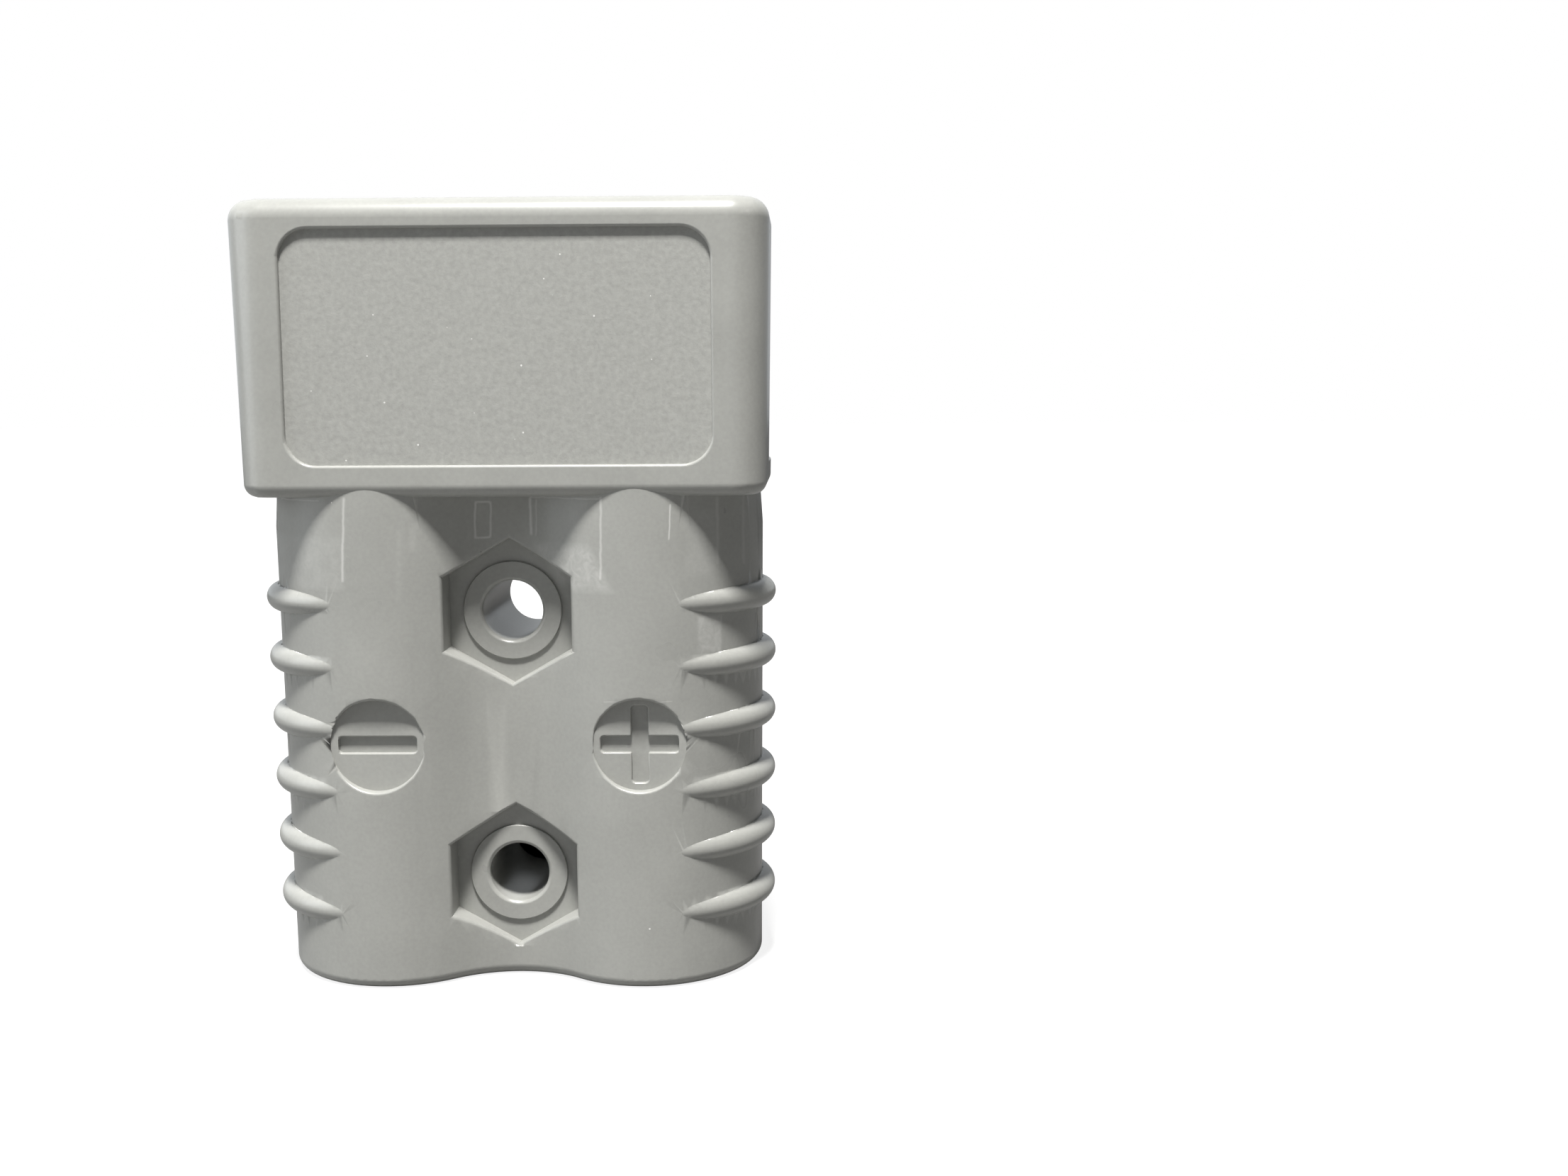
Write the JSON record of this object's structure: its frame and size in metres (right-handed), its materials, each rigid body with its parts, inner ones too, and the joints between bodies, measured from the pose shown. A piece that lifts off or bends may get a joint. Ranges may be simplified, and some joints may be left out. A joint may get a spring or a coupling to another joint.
{
  "type": "genderless power connector",
  "caption": "Genderless power connector with a hood, a tongue, crimp contacts on leaf springs, bolt holes with nut recesses, finger ribs and polarity marks.",
  "frame": {"origin": "middle of the cable end, on the mating plane", "axes": "+X across the poles from minus to plus, -Y out of the label face, +Z from the cable end to the mating end; y = 0 is the mating plane"},
  "size_m": [0.054, 0.025, 0.08],
  "materials": {
    "housing": "smooth moulded grey polycarbonate, with a fine matt texture in the label recess",
    "contact": null,
    "spring": "plain stainless spring strip"
  },
  "bodies": {
    "root": {"housing": "housing", "contact_minus": "contact", "contact_plus": "contact", "spring_minus": "spring", "spring_plus": "spring"}
  },
  "joints": []
}
